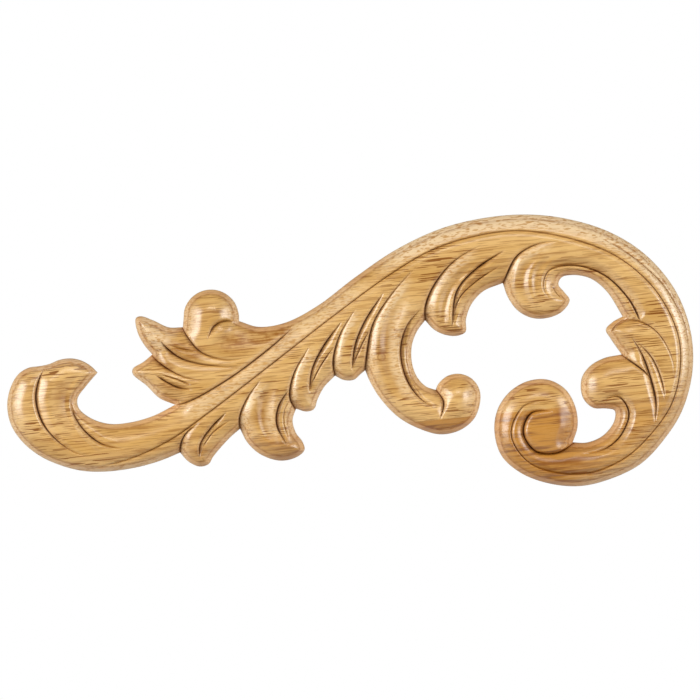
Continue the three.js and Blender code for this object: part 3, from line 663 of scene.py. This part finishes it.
class Shader:
    """A short way to write a material's nodes: each call adds a node and gives its output."""

    def __init__(self, name):
        self.material = bpy.data.materials.new(name)
        self.material.use_nodes = True
        self.tree = self.material.node_tree
        self.surface = self.tree.nodes["Principled BSDF"].inputs

    def node(self, kind, settings=(), output=0, **inputs):
        """Adds a node. Inputs are named by socket, or by number as in_0. A value is a number or an output."""
        made = self.tree.nodes.new(kind)
        for key, value in dict(settings).items():
            setattr(made, key, value)
        for key, value in inputs.items():
            number = key.removeprefix("in_")
            self.put(made.inputs[int(number) if number.isdigit() else key.replace("_", " ")], value)
        return made.outputs[output]

    def put(self, socket, value):
        """Gives an input a number, a colour or another node's output."""
        if isinstance(value, bpy.types.NodeSocket):
            self.tree.links.new(value, socket)
        else:
            socket.default_value = value

    def math(self, operation, first, second=0.0):
        """Arithmetic on numbers."""
        return self.node("ShaderNodeMath", {"operation": operation}, in_0=first, in_1=second)

    def vector(self, operation, first, second=(0.0, 0.0, 0.0), output="Vector"):
        """Arithmetic on places and directions."""
        settings = {"operation": operation}
        return self.node("ShaderNodeVectorMath", settings, output=output, in_0=first, in_1=second)

    def scaled(self, value, factor, offset):
        """A number times a factor, plus an offset."""
        return self.math("ADD", self.math("MULTIPLY", value, factor), offset)

    def mix(self, factor, first, second):
        """A blend of two colours."""
        settings = {"data_type": "RGBA"}
        return self.node("ShaderNodeMix", settings, output=2, in_0=factor, in_6=first, in_7=second)

    def ramp(self, value, low, high, start, finish):
        """One number at and below low, another at and above high, and a straight ramp between them."""
        return self.node(
            "ShaderNodeMapRange", Value=value, From_Min=low, From_Max=high, To_Min=start, To_Max=finish
        )

    def step(self, value, low, high):
        """0 below low, 1 above high and smooth between them."""
        settings = {"interpolation_type": "SMOOTHSTEP"}
        return self.node("ShaderNodeMapRange", settings, Value=value, From_Min=low, From_Max=high)

    def attribute(self, name):
        """A number that the mesh holds at each of its points."""
        return self.node("ShaderNodeAttribute", {"attribute_name": name}, output="Fac")

    def noise(self, place, lengths, detail, roughness=0.5):
        """Noise from 0 to 1, whose grains have these lengths in mm along, into and across the grain."""
        scaled = self.vector("MULTIPLY", place, tuple(1 / (length * MM) for length in lengths))
        settings = {"normalize": True}
        return self.node(
            "ShaderNodeTexNoise", settings, Vector=scaled, Scale=1.0, Detail=detail, Roughness=roughness
        )


def colour(red, green, blue):
    """A shader colour from the red, green and blue of a picture, 0 to 255."""
    def linear(value):
        return value / 255 / 12.92 if value <= 10 else ((value / 255 + 0.055) / 1.055) ** 2.4

    return (linear(red), linear(green), linear(blue), 1)


# The two boards that the wood is glued up from
GRAIN_TILT = math.radians(5.7)  # the grain rises to the right
GRAIN = (math.cos(GRAIN_TILT), 0.0, math.sin(GRAIN_TILT))
GLUE_LINE = 0.1 * MM  # half the width over which one board gives way to the other
BOARD_SHIFT = (0.13, 0.07, 0.09)  # how far the lower board's pattern is moved, so that the two don't match
LOWER_SHADE = (-0.12, 0.03, 0.1, 0.9)  # it darkens between these two X, from the first amount to the second
LOWER_FADE = (0.085, 0.12, 0.0, 0.5)  # and further right it loses this much again

# The wood's patterns: the size of their grains along, into and across the grain in mm, detail and roughness
BROAD = ((90, 12, 9), 2)
PATCH = ((50, 14, 12), 1)
STREAK = ((45, 9, 2), 4, 0.65)
FINE = ((17, 7, 0.6), 1, 0.6)
DASH = ((9, 4, 0.48), 0)
PORES = ((3, 0.8, 0.7), 1)
SPECK = ((2.4, 2.4, 2.4), 2)  # the same both ways

# Layers: the part of a pattern's range over which each one comes in, how strong it gets and its colour
BROAD_LAYER = (0.35, 0.65, 1, colour(200, 154, 83))
STREAK_LAYER = (0.52, 0.64, 0.24, colour(160, 104, 26))
FINE_LAYER = (0.54, 0.6, 0.38, colour(146, 88, 12))
LOWER_LAYER = (0.45, 0.6, 1, colour(126, 70, 6))
PORE_LAYER = (0.5, 0.64, 1, colour(188, 141, 86))

LIGHT_WOOD = colour(218, 175, 108)
LOWER_WOOD = colour(184, 126, 46)
DASH_COLOUR = colour(122, 66, 4)
# stains and painted shade, in patches
STAIN_AND_SHADE_COLOUR = colour(138, 80, 14)
# painted shade in the flutes
HOLLOW_SHADE_COLOUR = colour(140, 80, 10)
EDGE_COLOUR = colour(216, 166, 124)
# paler end grain; the pale lines use it for their painted sheen as well
END_GRAIN_AND_SHEEN_COLOUR = colour(233, 205, 163)
KNOT_COLOUR = colour(140, 84, 24)
# painted shade in the cuts and in the line along the edge
CREASE_SHADE_COLOUR = colour(122, 56, 0)

# The parts of patterns' ranges over which other things come in
PATCH_RANGE = (0.4, 0.62)
DASH_RANGE = (0.59, 0.64)
STAIN_AND_SHADE_RANGE = (0.4, 0.6)
END_GRAIN_RANGE = (0.3, 0.85)  # how far a face turns to the grain
UNEVEN_RANGE = (0.35, 0.6)

DASH_LEAST = 0.4  # how strong the dashes are outside their patches
DASH_STRENGTH = 0.92
STAIN_AND_SHADE_SPECK = 0.4  # share of the specks in the pattern of the darker patches, and the rest is of the fine lines
STAIN_AND_SHADE_LEAST = 0.3  # how strong a darker patch is where its pattern is low
STAIN_AND_SHADE_GROWTH = 0.5  # and how much stronger it gets
EDGE_LEAST = 0.1  # how pale the bevel gets outside its patches
EDGE_GROWTH = 0.6
END_GRAIN_STRENGTH = 0.5
END_GRAIN_LOSS = 0.7  # how much of it dark wood hides
PALE_STRENGTH = 0.82
KNOT_SCALE = (620, 0, 660)  # one over the knot's half width and half height, in metres
KNOT_RIM = (1.35, 1.05)  # from its outside in, as shares of its half width
KNOT_HEART = (0.95, 0.7)
KNOT_HEART_LOSS = 0.75  # how much paler its heart is than its ring
KNOT_STRENGTH = 0.55
RIM_LINE_SHADE = 0.75  # how dark the painted shade is in the line between the edge's bevel and its roll
RIM_LINE_SHADE_LEAST = 0.4  # share of it that is left where the specks run low
# how strongly the painted shade darkens the cuts
CREASE_SHADE_STRENGTH = 0.88

# The wood's finish
ROUGHNESS = (0.2, 0.3)  # how much rougher the streaks are, and how rough the rest is
STREAK_RELIEF = 0.3  # how far the streaks stand up, where the dashes are 1 deep
BUMP_STRENGTH = 0.08
BUMP_DISTANCE = 0.12 * MM
COAT_ROUGHNESS = 0.28
SPECULAR = 0.35
DASH_DULLNESS = 0.5
STAIN_AND_SHADE_DULLNESS = 0.6


class CarvedWood(Shader):
    """Oiled and coated ash-like wood: two boards, long streaks, short pores and painted shade in the cuts."""

    def __init__(self):
        super().__init__("carved_wood")
        self.place = self.node("ShaderNodeTexCoord", output="Object")
        self.normal = self.place.node.outputs["Normal"]
        self.stain_and_shade_lines = self.attribute("stain_and_shade")
        self.set_boards()
        self.patch = self.noise(self.grain, *PATCH)
        self.streak = self.noise(self.grain, *STREAK)
        self.fine = self.noise(self.grain, *FINE)
        self.speck = self.noise(self.place, *SPECK)
        dash = self.step(self.noise(self.grain, *DASH), *DASH_RANGE)
        often = self.scaled(self.step(self.patch, *PATCH_RANGE), 1 - DASH_LEAST, DASH_LEAST)
        self.dashes = self.math("MULTIPLY", dash, often)
        tone = self.stained_and_shaded(self.bare_wood())
        tone = self.knotted(self.with_end_grain_and_sheen(tone))
        # painted shade along the bottoms of the cuts and in the line along the edge
        self.crease_shade = self.crease_shade_amount()
        tone = self.mix(self.math("MULTIPLY", self.crease_shade, CREASE_SHADE_STRENGTH), tone, CREASE_SHADE_COLOUR)
        self.finish(tone)

    def set_boards(self):
        """Places along and across the grain of each board, and how dark the lower board is at each place."""
        settings = {"rotation_type": "EULER_XYZ"}
        turned = self.node(
            "ShaderNodeVectorRotate", settings, Vector=self.place, Rotation=(0.0, GRAIN_TILT, 0.0)
        )
        side = self.node("ShaderNodeSeparateXYZ", output="X", Vector=turned)
        height = side.node.outputs["Z"]
        seam_x, seam_z = from_paper(*SEAM)
        seam_height = seam_z * math.cos(GRAIN_TILT) - seam_x * math.sin(GRAIN_TILT)
        lower = self.step(height, seam_height + GLUE_LINE, seam_height - GLUE_LINE)
        self.grain = self.vector("ADD", turned, self.vector("MULTIPLY", lower, BOARD_SHIFT))
        shade = self.math("SUBTRACT", self.ramp(side, *LOWER_SHADE), self.ramp(side, *LOWER_FADE))
        self.lower_shade = self.math("MULTIPLY", lower, shade)

    def with_layer(self, tone, pattern, layer):
        """The tone with a layer of another colour where a pattern runs high."""
        low, high, strength, layer_colour = layer
        return self.mix(self.math("MULTIPLY", self.step(pattern, low, high), strength), tone, layer_colour)

    def bare_wood(self):
        """The wood's own colour: streaks, fine lines and dashes on both boards, and a darker lower board."""
        tone = self.with_layer(LIGHT_WOOD, self.noise(self.grain, *BROAD), BROAD_LAYER)
        tone = self.with_layer(tone, self.streak, STREAK_LAYER)
        tone = self.with_layer(tone, self.fine, FINE_LAYER)
        tone = self.mix(self.math("MULTIPLY", self.dashes, DASH_STRENGTH), tone, DASH_COLOUR)
        return self.mix(self.lower_shade, tone, self.with_layer(LOWER_WOOD, self.streak, LOWER_LAYER))

    def stained_and_shaded(self, tone):
        """Patchy stains and painted shade, painted shade in the flutes, and a paler bevel along the edge."""
        # darker patches, partly stains and partly painted shade, mottled by specks and fine lines
        pattern = self.math(
            "ADD",
            self.math("MULTIPLY", self.speck, STAIN_AND_SHADE_SPECK),
            self.math("MULTIPLY", self.fine, 1 - STAIN_AND_SHADE_SPECK),
        )
        patchy = self.scaled(self.step(pattern, *STAIN_AND_SHADE_RANGE), STAIN_AND_SHADE_GROWTH, STAIN_AND_SHADE_LEAST)
        tone = self.mix(self.math("MULTIPLY", self.stain_and_shade_lines, patchy), tone, STAIN_AND_SHADE_COLOUR)
        # painted shade in the flutes
        tone = self.mix(self.attribute("hollow"), tone, HOLLOW_SHADE_COLOUR)
        patch_amount = self.scaled(self.patch, EDGE_GROWTH, EDGE_LEAST)
        return self.mix(self.math("MULTIPLY", self.attribute("edge"), patch_amount), tone, EDGE_COLOUR)

    def with_end_grain_and_sheen(self, tone):
        """Paler, finely pored wood where a face turns to the grain, and along the pale lines, which are
        partly painted sheen.
        """
        turn = self.math("ABSOLUTE", self.vector("DOT_PRODUCT", self.normal, GRAIN, output="Value"))
        dark = self.math("MAXIMUM", self.lower_shade, self.stain_and_shade_lines)
        left = self.math("SUBTRACT", 1.0, self.math("MULTIPLY", dark, END_GRAIN_LOSS))
        end_grain = self.math("MULTIPLY", self.step(turn, *END_GRAIN_RANGE), left)
        # end grain, and the pale lines with their painted sheen
        pale = self.math(
            "MAXIMUM",
            self.math("MULTIPLY", end_grain, END_GRAIN_STRENGTH),
            self.math("MULTIPLY", self.attribute("pale"), PALE_STRENGTH),
        )
        pored = self.with_layer(END_GRAIN_AND_SHEEN_COLOUR, self.noise(self.grain, *PORES), PORE_LAYER)
        return self.mix(pale, tone, pored)

    def knotted(self, tone):
        """A small knot: a dark ring round a paler heart."""
        knot_x, knot_z = from_paper(*KNOT)
        spot = self.vector("MULTIPLY", self.vector("SUBTRACT", self.place, (knot_x, 0, knot_z)), KNOT_SCALE)
        out = self.vector("LENGTH", spot, output="Value")
        heart = self.math("MULTIPLY", self.step(out, *KNOT_HEART), KNOT_HEART_LOSS)
        ring = self.math("SUBTRACT", self.step(out, *KNOT_RIM), heart)
        return self.mix(self.math("MULTIPLY", ring, KNOT_STRENGTH), tone, KNOT_COLOUR)

    def crease_shade_amount(self):
        """How much painted shade darkens the cuts, and unevenly the line along the edge."""
        uneven = self.scaled(self.step(self.speck, *UNEVEN_RANGE), 1 - RIM_LINE_SHADE_LEAST, RIM_LINE_SHADE_LEAST)
        rim = self.math("MULTIPLY", self.math("MULTIPLY", self.attribute("rim_line"), RIM_LINE_SHADE), uneven)
        return self.math("MAXIMUM", self.attribute("crease_shade"), rim)

    def finish(self, tone):
        """The satin finish, dull on the painted shade in the cuts, on dashes and on the patches of stains and
        painted shade.
        """
        relief = self.math("SUBTRACT", self.math("MULTIPLY", self.streak, STREAK_RELIEF), self.dashes)
        bump = self.node("ShaderNodeBump", Strength=BUMP_STRENGTH, Distance=BUMP_DISTANCE, Height=relief)
        patch_amount = self.math(
            "MAXIMUM",
            self.math("MULTIPLY", self.dashes, DASH_DULLNESS),
            self.math("MULTIPLY", self.stain_and_shade_lines, STAIN_AND_SHADE_DULLNESS),
        )
        dull = self.math("MAXIMUM", self.crease_shade, patch_amount)
        specular = self.math("SUBTRACT", SPECULAR, self.math("MULTIPLY", dull, SPECULAR))
        self.put(self.surface["Base Color"], tone)
        self.put(self.surface["Roughness"], self.scaled(self.streak, *ROUGHNESS))
        self.put(self.surface["Normal"], bump)
        self.put(self.surface["Coat Weight"], self.math("SUBTRACT", 1.0, dull))
        self.put(self.surface["Coat Roughness"], COAT_ROUGHNESS)
        self.put(self.surface["Specular IOR Level"], specular)


FLOOR_COLOUR = colour(236, 236, 234)
FLOOR_ROUGHNESS = 0.9
FLOOR_X = (-0.9, 0.9)
FLOOR_Y = (-0.9, 0.45)
FLOOR_DROP = 0.14  # how far the floor lies below the applique, out of the camera's sight


def make_floor():
    """A pale matt floor under the applique."""
    paint = Shader("floor_paint")
    paint.put(paint.surface["Base Color"], FLOOR_COLOUR)
    paint.put(paint.surface["Roughness"], FLOOR_ROUGHNESS)
    level = cad_low.z - FLOOR_DROP
    (left, right), (near, far) = FLOOR_X, FLOOR_Y
    corners = [(left, near, level), (right, near, level), (right, far, level), (left, far, level)]
    mesh = bpy.data.meshes.new("floor")
    mesh.from_pydata(corners, [], [(0, 1, 2, 3)])
    mesh.materials.append(paint.material)
    floor = bpy.data.objects.new("floor", mesh)
    bpy.context.collection.objects.link(floor)


# The soft lights on both sides and above: name, place, width, height and power
SOFT_LIGHTS = [
    ("left_light", (-3.2, -1.8, 0.7), 1.6, 2.6, 129),
    ("right_light", (3.2, -1.8, 0.7), 1.3, 2.6, 99),
    ("front_light", (0.2, -2.8, 2.4), 2.4, 1.0, 37),
]
SURROUND_LIGHT = 0.14  # how brightly the white surround lights the applique, where the camera sees it at 1


def soft_light(name, place, width, height, power):
    """A rectangular soft light that shines on the middle of the applique."""
    lamp = bpy.data.lights.new(name, "AREA")
    lamp.shape = "RECTANGLE"
    lamp.size, lamp.size_y = width, height
    lamp.energy = power
    light = bpy.data.objects.new(name, lamp)
    light.location = place
    light.rotation_euler = (-Vector(place)).to_track_quat("-Z", "Y").to_euler()
    bpy.context.collection.objects.link(light)


def make_surround():
    """A white surround that is bright to the camera and lights the applique only a little."""
    world = bpy.data.worlds.new("studio")
    bpy.context.scene.world = world
    world.use_nodes = True
    nodes, links = world.node_tree.nodes, world.node_tree.links
    seen = nodes.new("ShaderNodeLightPath").outputs["Is Camera Ray"]
    strength = nodes.new("ShaderNodeMapRange")
    strength.inputs["To Min"].default_value = SURROUND_LIGHT
    links.new(seen, strength.inputs["Value"])
    links.new(strength.outputs["Result"], nodes["Background"].inputs["Strength"])
    nodes["Background"].inputs["Color"].default_value = (1, 1, 1, 1)


# The photograph's frame: 700 squares across, with the applique's middle at this column and row
FRAME_SIZE = 700
FRAME_MIDDLE = (350.2, 350.4)
CAMERA_DISTANCE = 1.6
SENSOR_WIDTH = 36  # in mm, as the lens is


def make_camera():
    """A straight-on camera with a long lens that frames the applique as the photograph does."""
    data = bpy.data.cameras.new("camera")
    data.sensor_width = SENSOR_WIDTH
    data.lens = SENSOR_WIDTH * CAMERA_DISTANCE / (FRAME_SIZE * SQUARE)
    camera = bpy.data.objects.new("camera", data)
    bpy.context.collection.objects.link(camera)
    side = (FRAME_SIZE / 2 - FRAME_MIDDLE[0]) * SQUARE
    up = (FRAME_MIDDLE[1] - FRAME_SIZE / 2) * SQUARE
    camera.location = (side, -CAMERA_DISTANCE, up)
    camera.rotation_euler = (math.pi / 2, 0, 0)
    bpy.context.scene.camera = camera


make_scroll(CarvedWood().material)
make_floor()
for light in SOFT_LIGHTS:
    soft_light(*light)
make_surround()
make_camera()
bpy.context.scene.view_settings.view_transform = "Standard"
